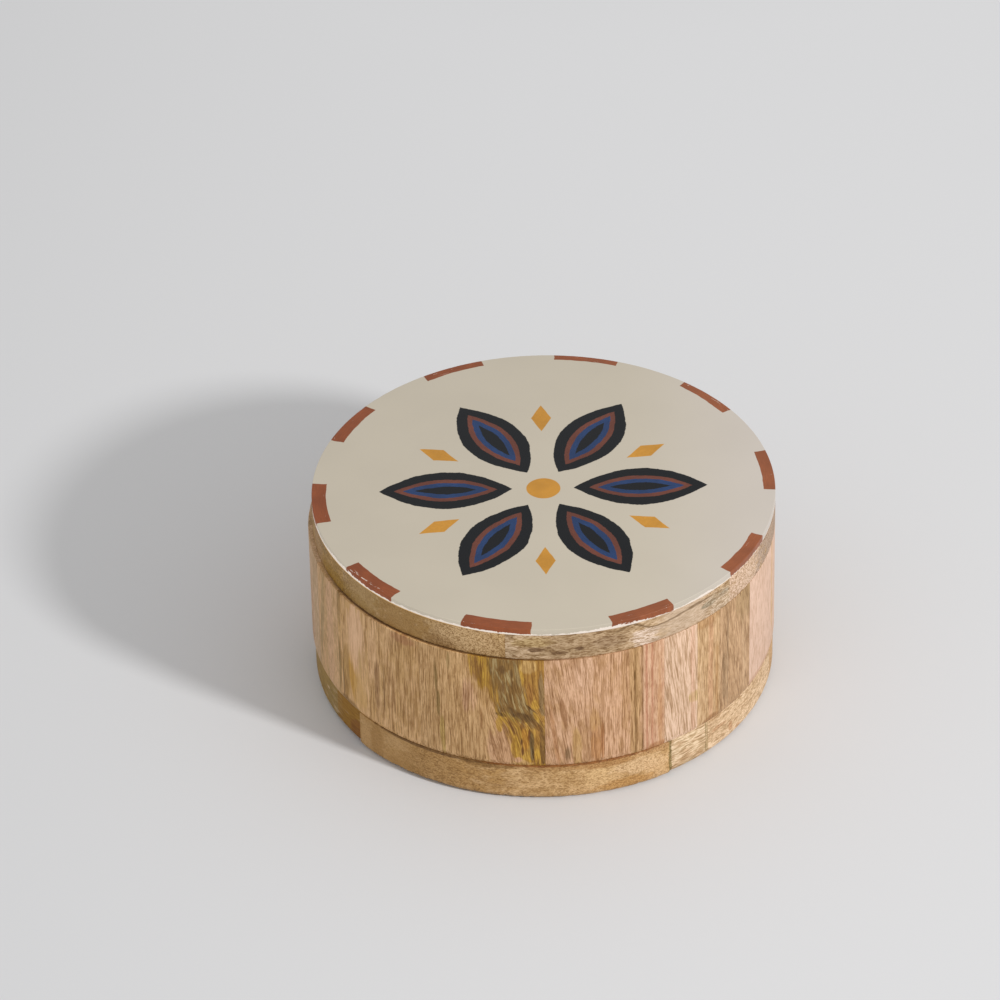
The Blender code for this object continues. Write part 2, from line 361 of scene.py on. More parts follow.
STAVE_WOODS = {
    "stave_01": Wood(
        linear(219, 177, 132), linear(204, 165, 117), OLIVE_LINE, 0.45, 0.3, 1100, 7, marks=(
            Mark(-71, 0.5, 1.2, 0.5, linear(168, 142, 98), 0.55, 4.4),
            Mark(-65.5, 0.5, 2.2, 0.7, linear(222, 178, 142), 0.6),
        )),
    "stave_02": Wood(
        linear(229, 186, 135), linear(212, 169, 113), BROWN_LINE, 0.72, 0.35, 1150, 20, marks=(
            Mark(-60.8, 0.33, 0.8, 0.38, OLIVE, 0.75),
            Mark(-59.0, 0.2, 0.5, 0.22, OLIVE, 0.6),
            Mark(-60.3, 0.85, 0.7, 0.2, OLIVE, 0.5),
            Mark(-57.2, 0.25, 1.8, 0.3, linear(186, 144, 78), 0.8),
            Mark(-54.8, 0.33, 2.0, 0.22, linear(204, 154, 70), 0.9),
            Mark(-53.0, 0.70, 3.6, 0.32, linear(240, 196, 156), 0.8),
            Mark(-52.0, 0.2, 2.4, 0.2, linear(212, 168, 102), 0.6),
            Mark(-51.5, 0.5, 0.8, 0.14, STRAW, 0.7),
            Mark(-47.0, 0.72, 2.0, 0.3, linear(238, 194, 148), 0.6),
            Mark(-45.3, 0.38, 0.9, 0.24, SMUDGE, 0.75),
            Mark(-43.0, 0.47, 0.3, 0.3, linear(140, 102, 60), 0.6),
            Mark(-37.0, 0.96, 3.5, 0.05, linear(196, 140, 100), 0.6),
            # Painted shade and dirt at the wall's foot, in the groove over the base
            Mark(-57.0, 0.0, 4.5, 0.06, linear(156, 118, 68), 0.8, 0, 1.0),
        ), calm=(-53.5, 4)),
    "stave_03": Wood(
        linear(221, 180, 130), linear(204, 163, 112), BROWN_LINE, 0.75, 0.42, 1300, 18, marks=(
            Mark(-27.5, 0.73, 0.5, 0.16, OLIVE, 0.8),
            Mark(-27.0, 0.47, 0.5, 0.11, OLIVE, 0.8),
            Mark(-26.0, 0.17, 0.7, 0.2, linear(188, 156, 84), 0.8),
            Mark(-24.0, 0.9, 0.5, 0.08, OLIVE, 0.6),
            Mark(-19.0, 0.62, 2.0, 0.18, ROSE, 0.5),
            Mark(-16.0, 0.2, 4.0, 0.3, linear(196, 156, 108), 0.5),
            Mark(-11.2, 0.14, 3.2, 0.26, ROSE, 0.42),
            Mark(-15.9, 0.42, 0.5, 0.10, SCORCH, 0.5),
            # Left of the core
            Mark(-17.0, 0.88, 1.2, 0.12, linear(150, 106, 58), 0.6),
            Mark(-13.6, 0.90, 0.4, 0.10, SOOT, 0.6, -5),
            Mark(-12.6, 0.80, 0.7, 0.12, linear(142, 106, 48), 0.7),
            Mark(-15.0, 0.62, 1.2, 0.10, linear(202, 160, 106), 0.8),
            Mark(-11.5, 0.38, 0.8, 0.07, GOLD, 0.8),
            # The core's grey streaks and dark knots
            Mark(-11.2, 0.82, 0.3, 0.09, FLAME_GREY, 0.9, -13),
            Mark(-9.0, 0.82, 0.4, 0.07, FLAME_GREY, 0.9, -9),
            Mark(-7.0, 0.86, 0.6, 0.12, FLAME_GREY, 0.6, -5),
            Mark(-10.0, 0.64, 0.4, 0.07, FLAME_GREY, 0.9, -12),
            Mark(-6.4, 0.60, 0.4, 0.10, FLAME_GREY, 0.7, -10),
            Mark(-10.6, 0.90, 1.0, 0.05, linear(112, 80, 40), 0.8),
            Mark(-10.4, 0.74, 0.6, 0.08, linear(116, 82, 44), 0.6),
            Mark(-8.3, 0.88, 0.5, 0.06, SOOT, 0.7),
            Mark(-11.0, 0.475, 1.2, 0.02, SOOT, 0.6, -30),
            Mark(-8.2, 0.51, 1.3, 0.05, linear(112, 80, 34), 0.7, -22),
            Mark(-8.8, 0.46, 0.5, 0.05, linear(166, 134, 62), 0.7, -22),
            Mark(-5.6, 0.46, 2.2, 0.045, SOOT, 0.6, -26),
            Mark(-6.8, 0.44, 0.5, 0.03, linear(150, 118, 48), 0.7, -22),
            # The yellow tail
            Mark(-8.4, 0.35, 0.3, 0.10, linear(126, 82, 34), 0.9, -11),
            Mark(-6.1, 0.23, 0.3, 0.04, linear(96, 56, 24), 0.9),
            Mark(-5.9, 0.15, 0.3, 0.05, linear(112, 68, 28), 0.9),
            Mark(-5.9, 0.38, 0.5, 0.06, linear(128, 84, 32), 0.8),
            Mark(-7.6, 0.18, 1.2, 0.10, GOLD, 0.8),
            Mark(-5.2, 0.25, 1.0, 0.12, AMBER, 0.8),
            Mark(-4.2, 0.29, 0.5, 0.06, linear(116, 68, 26), 0.9),
            Mark(-3.7, 0.22, 0.6, 0.12, linear(118, 94, 52), 0.9),
            Mark(-3.7, 0.11, 0.5, 0.07, linear(132, 112, 76), 0.8),
            Mark(-3.4, 0.12, 0.25, 0.05, SOOT, 0.7),
            Mark(-2.3, 0.27, 0.8, 0.10, linear(164, 118, 52), 0.7),
            Mark(-2.3, 0.11, 0.9, 0.05, GOLD, 0.9),
            Mark(-2.6, 0.38, 1.0, 0.05, linear(134, 96, 46), 0.6, -26),
            Mark(-6.0, 0.02, 2.5, 0.03, linear(204, 164, 110), 0.8),
            Mark(-7.1, 0.05, 0.8, 0.03, linear(216, 168, 140), 0.7),
            # Beside the joint
            Mark(-1.1, 0.18, 0.7, 0.20, linear(122, 88, 44), 0.8),
            Mark(-1.2, 0.70, 0.7, 0.25, linear(150, 122, 82), 0.9),
            Mark(-4.0, 0.68, 0.8, 0.10, SCORCH, 0.6),
            Mark(-4.0, 0.95, 2.0, 0.07, linear(210, 172, 110), 0.9),
            Mark(-3.6, 0.54, 0.3, 0.05, SOOT, 0.8, -30),
            Mark(-2.8, 0.58, 1.0, 0.05, GOLD, 0.8),
            Mark(-2.5, 0.47, 0.6, 0.05, GOLD, 0.7, -12),
        )),
    "stave_04": Wood(
        linear(210, 168, 134), linear(194, 152, 112), BROWN_LINE, 0.71, 0.33, 1300, 17,
        lean=(0.14, 2, 16), marks=(
            Mark(2.0, 0.25, 0.7, 0.3, RUST, 0.4, -3.0),
            Mark(4.0, 0.5, 0.8, 0.14, linear(160, 112, 70), 0.6, -3.0),
            Mark(5.0, 0.10, 0.9, 0.09, linear(132, 108, 78), 0.6, -1.0),
            Mark(7.2, 0.15, 1.2, 0.18, linear(190, 152, 88), 0.55, -1.0),
            Mark(12.0, 0.17, 1.4, 0.22, linear(176, 122, 68), 0.7),
            Mark(13.5, 0.2, 0.5, 0.18, RUST, 0.6),
            Mark(11.5, 0.4, 1.6, 0.12, linear(190, 146, 90), 0.6),
            Mark(9.0, 0.85, 2.4, 0.2, linear(216, 176, 146), 0.6),
            Mark(22.0, 0.5, 1.6, 3.0, linear(190, 152, 106), 0.8),
            Mark(22.0, 0.5, 0.45, 3.0, linear(156, 120, 74), 0.7),
            Mark(21.8, 0.75, 0.35, 0.06, linear(116, 82, 28), 0.85),
            Mark(23.7, 0.5, 0.3, 3.0, linear(140, 102, 62), 0.7),
        )),
    "stave_05": Wood(
        linear(208, 169, 137), linear(196, 157, 122), RED_LINE, 0.5, 0.35, 1500, 14, marks=(
            Mark(24.9, 0.5, 0.3, 1.5, linear(174, 112, 82), 0.6),
            Mark(26.4, 0.5, 0.3, 1.5, linear(174, 112, 82), 0.5),
            Mark(28.5, 0.3, 0.6, 0.5, linear(196, 150, 104), 0.5),
            # Painted shade and dirt at the wall's foot, in the groove over the base
            Mark(28.0, 0.0, 3.0, 0.05, linear(176, 128, 86), 0.8, 0, 1.0),
        )),
    "stave_06": Wood(
        linear(219, 187, 161), linear(210, 178, 151), BROWN_LINE, 0.74, 0.28, 1200, 20,
        lean=(0.13, 32, 44), marks=(
            Mark(38.5, 0.33, 1.5, 0.06, linear(198, 170, 116), 0.8),
            Mark(38.3, 0.5, 0.8, 1.5, ROSE, 0.4),
        )),
    "stave_07": Wood(
        linear(207, 173, 134), linear(193, 158, 117), BROWN_LINE, 0.68, 0.35, 1150, 12, marks=(
            Mark(46.5, 0.38, 0.6, 0.4, linear(172, 128, 76), 0.5),
            Mark(44.2, 0.5, 0.9, 0.8, linear(202, 156, 120), 0.6),
            Mark(43.0, 0.98, 4.0, 0.06, linear(176, 132, 84), 0.5),
            # Painted shade and dirt at the wall's foot, in the groove over the base
            Mark(44.5, 0.01, 3.0, 0.05, linear(156, 114, 72), 0.8, 0, 1.0),
        )),
    "stave_08": Wood(
        linear(194, 158, 121), linear(178, 143, 106), GREY_LINE, 0.74, 0.4, 1150, 12,
        lean=(0.10, 50, 46), marks=(
            Mark(49.2, 0.28, 1.1, 0.3, linear(144, 116, 84), 0.6),
            Mark(50.5, 0.5, 0.4, 0.5, GREY, 0.5),
            Mark(57.5, 0.9, 3.5, 0.2, linear(158, 129, 88), 0.7),
            Mark(58.0, 0.4, 1.5, 0.5, linear(198, 164, 128), 0.6),
        )),
    "stave_09": Wood(
        linear(211, 179, 158), linear(205, 172, 150), BROWN_LINE, 0.3, 0.15, 900, 6, marks=(
            Mark(78, 0.6, 1.2, 0.5, STRAW, 0.5),
            # Painted shade and dirt at the wall's foot, in the groove over the base
            Mark(68, 0.0, 11, 0.06, linear(190, 150, 122), 0.8, 0, 1.0),
        )),
    "stave_10": Wood(
        linear(206, 168, 128), linear(190, 152, 108), BROWN_LINE, 0.65, 0.4, 1150, 10, marks=(
            Mark(93, 0.3, 1.0, 0.4, OLIVE, 0.7),
            Mark(101, 0.7, 2.5, 0.4, PINK, 0.7),
        )),
    "stave_11": Wood(
        linear(200, 160, 118), linear(184, 145, 98), BROWN_LINE, 0.7, 0.5, 1200, 8, marks=(
            Mark(116, 0.2, 1.5, 0.4, linear(150, 118, 70), 0.8),
            Mark(124, 0.6, 3.0, 0.5, ROSE, 0.6),
            Mark(135, 0.4, 0.9, 0.9, STRAW, 0.8, -5.0),
        )),
    "stave_12": Wood(
        linear(218, 184, 152), linear(206, 168, 132), BROWN_LINE, 0.6, 0.25, 1100, 12,
        lean=(0.10, 142, 162), marks=(
            Mark(150, 0.3, 0.7, 0.35, RUST, 0.6),
        )),
    "stave_13": Wood(
        linear(200, 162, 112), linear(184, 146, 94), OLIVE_LINE, 0.7, 0.4, 1150, 9, marks=(
            Mark(162, 0.5, 0.8, 0.9, OLIVE, 0.8, 3.0),
            Mark(172, 0.3, 2.6, 0.4, linear(204, 164, 92), 0.7),
            Mark(178, 0.8, 1.4, 0.2, SMUDGE, 0.7),
        )),
    "stave_14": Wood(
        linear(212, 174, 134), linear(196, 156, 112), BROWN_LINE, 0.65, 0.4, 1100, 11, marks=(
            Mark(-170, 0.7, 3.2, 0.5, PINK, 0.8),
            Mark(-162, 0.3, 1.0, 0.5, RUST, 0.7, 2.0),
            Mark(-153, 0.5, 1.6, 0.7, STRAW, 0.8),
        )),
    "stave_15": Wood(
        linear(202, 162, 126), linear(186, 146, 106), RED_LINE, 0.6, 0.3, 1250, 10, marks=(
            Mark(-138, 0.6, 0.5, 1.2, linear(160, 108, 74), 0.7),
            Mark(-130, 0.3, 1.8, 0.4, SMUDGE, 0.6),
        )),
    "stave_16": Wood(
        linear(220, 188, 160), linear(210, 174, 142), BROWN_LINE, 0.55, 0.25, 1100, 12,
        lean=(-0.1, -99, -122), marks=(
            Mark(-116, 0.4, 1.0, 0.5, STRAW, 0.7),
            Mark(-104, 0.7, 0.5, 0.4, linear(160, 120, 84), 0.7),
        )),
    "stave_17": Wood(
        linear(218, 184, 149), linear(203, 169, 132), OLIVE_LINE, 0.5, 0.35, 1150, 9, marks=(
            Mark(-90, 0.5, 1.5, 0.7, OLIVE, 0.6),
            Mark(-82, 0.3, 2.0, 0.5, ROSE, 0.5),
        )),
}


class KeepsakeSizes(bpy.types.PropertyGroup):
    """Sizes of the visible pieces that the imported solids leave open."""

    wall: bpy.props.FloatProperty(
        name="Wall", description="Thickness of the wall", default=0.009, unit="LENGTH"
    )
    spigot: bpy.props.FloatProperty(
        name="Spigot clearance", description="Play of the lid's spigot in the wall",
        default=0.0013, unit="LENGTH",
    )
    foot: bpy.props.FloatProperty(
        name="Foot round", description="Rounding of the base's lower edge", default=0.0037,
        unit="LENGTH",
    )
    first_foot: bpy.props.FloatProperty(
        name="First board's foot", description="The same edge on the front board", default=0.0031,
        unit="LENGTH",
    )
    base_ease: bpy.props.FloatProperty(
        name="Base edge", description="Rounding of the base's upper edge", default=0.0003,
        unit="LENGTH",
    )
    base_inset: bpy.props.FloatProperty(
        name="Base inset", description="How much narrower the boards behind the first one are",
        default=0.00075, unit="LENGTH",
    )
    base_shift: bpy.props.FloatProperty(
        name="Base shift", description="How far those boards lie over to the right",
        default=0.00025, unit="LENGTH",
    )
    ledge: bpy.props.FloatProperty(
        name="Ledge", description="How far the wall's foot draws in from the base",
        default=0.0006, unit="LENGTH",
    )
    ease: bpy.props.FloatProperty(
        name="Edge ease", description="Least rounding of the turned edges", default=0.0002,
        unit="LENGTH",
    )
    lid_ease: bpy.props.FloatProperty(
        name="Lid edge", description="Rounding of the lid's lower edge", default=0.00018,
        unit="LENGTH",
    )
    mouth: bpy.props.FloatProperty(
        name="Mouth round", description="Rounding of the wall's inner edge", default=0.0008,
        unit="LENGTH",
    )
    glue: bpy.props.FloatProperty(
        name="Glue line", description="Width of the gap at a glue joint", default=0.00006,
        unit="LENGTH",
    )
    enamel_round: bpy.props.FloatProperty(
        name="Enamel round", description="Rounding of the enamel's upper edge", default=0.00015,
        unit="LENGTH",
    )


class KeepsakePaints(bpy.types.PropertyGroup):
    """Colours of the enamel and of what is painted on it."""

    enamel: bpy.props.FloatVectorProperty(
        name="Enamel", description="Ground of the lid", subtype="COLOR",
        default=linear(197, 187, 169),
    )
    rim: bpy.props.FloatVectorProperty(
        name="Bare rim", description="White ground showing at the enamel's edge",
        subtype="COLOR", default=linear(240, 227, 214),
    )
    border: bpy.props.FloatVectorProperty(
        name="Border", description="Terracotta dashes round the lid", subtype="COLOR",
        default=linear(136, 75, 44),
    )
    navy: bpy.props.FloatVectorProperty(
        name="Navy", description="Edge and heart of a petal", subtype="COLOR",
        default=linear(5, 8, 13),
    )
    rust: bpy.props.FloatVectorProperty(
        name="Rust", description="Band inside a petal", subtype="COLOR",
        default=linear(100, 54, 41),
    )
    blue: bpy.props.FloatVectorProperty(
        name="Blue", description="Band inside the rust one", subtype="COLOR",
        default=linear(27, 52, 92),
    )
    ochre: bpy.props.FloatVectorProperty(
        name="Ochre", description="Lozenges and middle of the rosette", subtype="COLOR",
        default=linear(196, 138, 50),
    )


class KeepsakeStudio(bpy.types.PropertyGroup):
    """Camera, lamps and floor."""

    pitch: bpy.props.FloatProperty(
        name="Pitch", description="How far the camera looks down", subtype="ANGLE",
        default=math.radians(36.39),
    )
    roll: bpy.props.FloatProperty(
        name="Roll", description="Turn of the camera about its view", subtype="ANGLE",
        default=-0.0219,
    )
    offset: bpy.props.FloatVectorProperty(
        name="Offset", description="Place of the box in the camera's frame: right, down, away",
        subtype="TRANSLATION", default=(0.01907, 0.06729, 2.61464),
    )
    lens: bpy.props.FloatProperty(
        name="Lens", description="Focal length in millimetres on a 36 mm sensor", default=216.0
    )
    lamp_azimuth: bpy.props.FloatProperty(
        name="Lamp azimuth", description="Way to the lamp from the front", subtype="ANGLE",
        default=math.radians(52.0),
    )
    lamp_height: bpy.props.FloatProperty(
        name="Lamp elevation", description="Way up to the lamp", subtype="ANGLE",
        default=math.radians(32.4),
    )
    lamp_distance: bpy.props.FloatProperty(
        name="Lamp distance", description="From the box to the lamp", default=1.8, unit="LENGTH"
    )
    lamp_size: bpy.props.FloatProperty(
        name="Lamp size", description="Diameter of the lamp", default=0.20, unit="LENGTH"
    )
    lamp_power: bpy.props.FloatProperty(
        name="Lamp power", description="Power of the lamp", default=22.1, unit="POWER"
    )
    sky: bpy.props.FloatProperty(
        name="Sky", description="Strength of the light from all round", default=0.63
    )
    floor: bpy.props.FloatVectorProperty(
        name="Floor", description="Pale floor", subtype="COLOR", default=linear(214, 214, 215)
    )
    floor_size: bpy.props.FloatProperty(
        name="Floor size", description="Width of the floor", default=8.0, unit="LENGTH"
    )


class Socket:
    """An output socket. Arithmetic on it adds Math nodes to its tree."""

    def __init__(self, tree, socket):
        self.tree = tree
        self.socket = socket

    def __add__(self, other):
        return self.tree.math("ADD", self, other)

    __radd__ = __add__

    def __sub__(self, other):
        return self.tree.math("SUBTRACT", self, other)

    def __rsub__(self, other):
        return self.tree.math("SUBTRACT", other, self)

    def __mul__(self, other):
        return self.tree.math("MULTIPLY", self, other)

    __rmul__ = __mul__

    def __truediv__(self, other):
        return self.tree.math("DIVIDE", self, other)

    def __abs__(self):
        return self.tree.math("ABSOLUTE", self)

    def smooth(self, low, high):
        """Rises from 0 at low to 1 at high, or falls where high is the lower one."""
        settings = {"interpolation_type": "SMOOTHSTEP"}
        return self.tree.node("ShaderNodeMapRange", settings, {0: self, 1: low, 2: high})


class Tree:
    """A shader or geometry node tree that is written as expressions."""

    def __init__(self, tree):
        self.tree = tree

    def node(self, kind, settings=None, sockets=None, output=0):
        """Add a node of a type, set it up, feed its sockets and return one of its outputs."""
        node = self.tree.nodes.new(kind)
        for key, value in (settings or {}).items():
            if key == "stops":
                self.fill_ramp(node.color_ramp, value)
            else:
                setattr(node, key, value)
        for key, value in (sockets or {}).items():
            self.feed(node.inputs[key], value)
        return Socket(self, node.outputs[output]) if node.outputs else None

    def feed(self, target, value):
        if isinstance(value, Socket):
            self.tree.links.new(value.socket, target)
        else:
            target.default_value = value

    def fill_ramp(self, ramp, stops):
        while len(ramp.elements) < len(stops):
            ramp.elements.new(1.0)
        for element, (position, colour) in zip(ramp.elements, stops):
            element.position = position
            element.color = (*colour, 1.0)

    def math(self, operation, *values):
        return self.node("ShaderNodeMath", {"operation": operation}, dict(enumerate(values)))

    def vector(self, operation, *values):
        return self.node("ShaderNodeVectorMath", {"operation": operation}, dict(enumerate(values)))

    def combine(self, x, y, z):
        return self.node("ShaderNodeCombineXYZ", sockets={0: x, 1: y, 2: z})

    def split(self, vector):
        return [self.node("ShaderNodeSeparateXYZ", sockets={0: vector}, output=n) for n in range(3)]

    def noise(self, place, scale=1.0, detail=2.0, roughness=0.5):
        sockets = {"Vector": place, "Scale": scale, "Detail": detail, "Roughness": roughness}
        return self.node("ShaderNodeTexNoise", sockets=sockets)

    def mix(self, factor, first, second, blend="MIX"):
        """Mix two colours; a plain list counts as a colour."""
        first, second = [c if isinstance(c, Socket) else (*c, 1.0) for c in (first, second)]
        settings = {"data_type": "RGBA", "blend_type": blend}
        return self.node("ShaderNodeMix", settings, {0: factor, 6: first, 7: second}, output=2)


class Finish(Tree):
    """A material, with its Principled shader fed from expressions."""

    def __init__(self, name):
        self.material = bpy.data.materials.new(name)
        self.material.use_nodes = True
        super().__init__(self.material.node_tree)
        self.shader = self.material.node_tree.nodes["Principled BSDF"]

    def place(self):
        return self.node("ShaderNodeTexCoord", output="Object")

    def course(self, share, stops):
        """A value that follows a share between stops, each of which pairs a share with it."""
        values = [value for _, value in stops]
        low, span = min(values), max(values) - min(values)
        greys = [(position, ((value - low) / span,) * 3) for position, value in stops]
        return self.node("ShaderNodeValToRGB", {"stops": greys}, {0: share}) * span + low

    def turned(self, facing, centre=0.0):
        """Object coordinates turned so that the way a piece faces lies on -Y."""
        moved = self.vector("SUBTRACT", self.place(), (centre, 0.0, 0.0))
        sockets = {0: moved, 2: (0.0, 0.0, -facing)}
        return self.node("ShaderNodeMapping", sockets=sockets)

    def lip_dirt_and_shade(self, colour, angle, ragged):
        """Dirt and painted shade on the wall's top at the left, on the strip that the lid leaves
        bare.
        """
        x, y, z = self.split(self.vector("SUBTRACT", self.place(), (LID_CENTRE, 0.0, 0.0)))
        beyond = self.math("SQRT", x * x + y * y) - LID_RADIUS + (ragged - 0.5) * 0.0006
        mask = beyond.smooth(0.0012, 0.0004) * z.smooth(WALL_HIGH.z - 0.0003, WALL_HIGH.z)
        return self.mix(mask * abs(angle + 30).smooth(46, 24) * 0.85, colour, DIRT_AND_SHADE)

    def bump(self, height, strength, distance):
        sockets = {"Height": height, "Strength": strength, "Distance": distance}
        self.feed(self.shader.inputs["Normal"], self.node("ShaderNodeBump", sockets=sockets))

    def surface(self, **inputs):
        for name, value in inputs.items():
            self.feed(self.shader.inputs[name.replace("_", " ").title()], value)


def wood_finish(name, look, facing, low, high, seed, upright, centre=0.0, flamed=False):
    """Grained wood. The grain stands on upright pieces, and follows the glue planes on boards."""
    finish = Finish(name)
    x, y, z = finish.split(finish.turned(facing, centre))
    across, along = (x, z) if upright else (z, x)
    share = (z - low) / (high - low)
    angle = finish.math("ARCTAN2", x, y * -1.0) * math.degrees(1) + math.degrees(facing)

    # The grain wanders a little to either side, leans, and runs aside with a flame in it
    away = seed * SEED_STEP
    wander_place = finish.combine(
        across * WANDER_CELLS, y * WANDER_CELLS + away, along * (WANDER_CELLS / WANDER_STRETCH)
    )
    wander = (finish.noise(wander_place, detail=3.0) - 0.5) * WANDER_REACH
    grain = across + wander
    slope, full, gone = look.lean
    if slope:
        grain = grain + (share - 0.5) * (high - low) * slope * angle.smooth(gone, full)
    if flamed:
        aside = (finish.course(share, FLAME_COURSE) - COURSE_MIDDLE) * angle.smooth(*FLAME_PULL)
        grain = grain - aside * math.radians(1) * OUTER_RADIUS

    def cells(count, stretch, detail):
        """Noise whose cells are stretched along the grain."""
        into = (y + wander) * (count / look.depth) + away
        spot = finish.combine(grain * count, into, along * (count / stretch))
        return finish.noise(spot, detail=detail)

    bands = cells(BAND_CELLS, min(BAND_STRETCH, look.stretch), 3.0)
    mottle = cells(MOTTLE_CELLS, MOTTLE_STRETCH, 3.0)
    streaks = cells(STREAK_CELLS, min(STREAK_STRETCH, look.stretch), 2.0)
    lines = cells(look.cells, look.stretch, 2.0)
    threads = cells(look.cells * THREAD_FINENESS, look.stretch * THREAD_LENGTH, 1.0)
    pores = cells(PORE_CELLS, min(PORE_STRETCH, look.stretch), 1.0)

    colour = finish.mix((bands + mottle).smooth(*TONES_SHOW), look.light, look.deep)
    if flamed:
        colour = flame(finish, colour, angle, share, streaks, bands, cells)
    for mark in look.marks:
        lean = (share - mark.height) * mark.lean
        aside = (angle - mark.angle - lean) / mark.half
        rise = (share - mark.height) / mark.rise
        spread = aside * aside + rise * rise + (streaks - 0.5) * mark.ragged
        colour = finish.mix(spread.smooth(1.3, 0.4) * mark.strength, colour, mark.colour)
    lively = 1.0
    if look.calm:
        middle, half = look.calm
        lively = 1 - (abs(angle - middle) / half).smooth(1.2, 0.6) * 0.55
    for mask, strength in (
        (threads.smooth(*THREADS_SHOW), look.lines * 0.75),
        (lines.smooth(*LINES_SHOW), look.lines * 0.84),
        (pores.smooth(*PORES_SHOW), look.pores),
    ):
        colour = finish.mix(mask * strength * lively, colour, look.line, "MULTIPLY")
    if look.vein:
        colour = finish.mix(vein(finish, look.vein, angle, share, streaks) * 0.7, colour, SOOT)
    if upright:
        colour = finish.lip_dirt_and_shade(colour, angle, streaks)

    finish.surface(base_color=colour, roughness=WOOD_ROUGHNESS + lines * 0.18)
    finish.shader.inputs["Specular IOR Level"].default_value = WOOD_SPECULAR
    finish.bump(1 - pores.smooth(*PORES_SINK) - lines * 0.4, 0.5, 0.00006)
    return finish.material


def vein(finish, stops, angle, share, streaks):
    """Mask of a thin wavy line that runs round a board's rim."""
    first, last = stops[0][0], stops[-1][0]
    path = [((stop - first) / (last - first), height) for stop, height in stops]
    height = finish.course((angle - first) / (last - first), path)
    width = abs(share - height + (streaks - 0.5) * 0.2)
    return width.smooth(0.07, 0.015) * angle.smooth(first, first + 3) * angle.smooth(last, last - 4)


def flame(finish, colour, angle, share, streaks, bands, cells):
    """A yellow flame with a dark core, whose grain runs down and aside to the joint."""
    ragged = (streaks - 0.5) * 7.0
    height = share + (streaks - 0.5) * 0.12
    left, core_left, core_right = [
        finish.course(height, stops) for stops in (FLAME_EDGE, CORE_LEFT, CORE_RIGHT)
    ]
    flow = cells(FLOW_CELLS, FLOW_STRETCH, 2.0)
    yellow = finish.mix(flow.smooth(0.42, 0.6), FLAME_YELLOW, FLAME_OCHRE)
    inside = (angle + ragged - left).smooth(-0.7, 0.7)
    colour = finish.mix(inside * (0.65 + bands * 0.35), colour, yellow)

    # Right of the core, and above the place where it runs out, the wood is tan again
    side = (angle + ragged * 0.5 - core_right).smooth(-0.5, 0.9) * share.smooth(0.34, 0.5)
    colour = finish.mix(side * 0.85, colour, FLAME_SIDE)
    core = (angle + ragged * 0.6 - core_left).smooth(-0.6, 0.6)
    core = core * (core_right - angle + ragged * 0.6).smooth(-0.5, 0.5) * height.smooth(0.33, 0.38)
    dark = finish.mix(flow.smooth(0.52, 0.61) * 0.85, FLAME_CORE, FLAME_GREY)
    return finish.mix(core * 0.95, colour, dark)


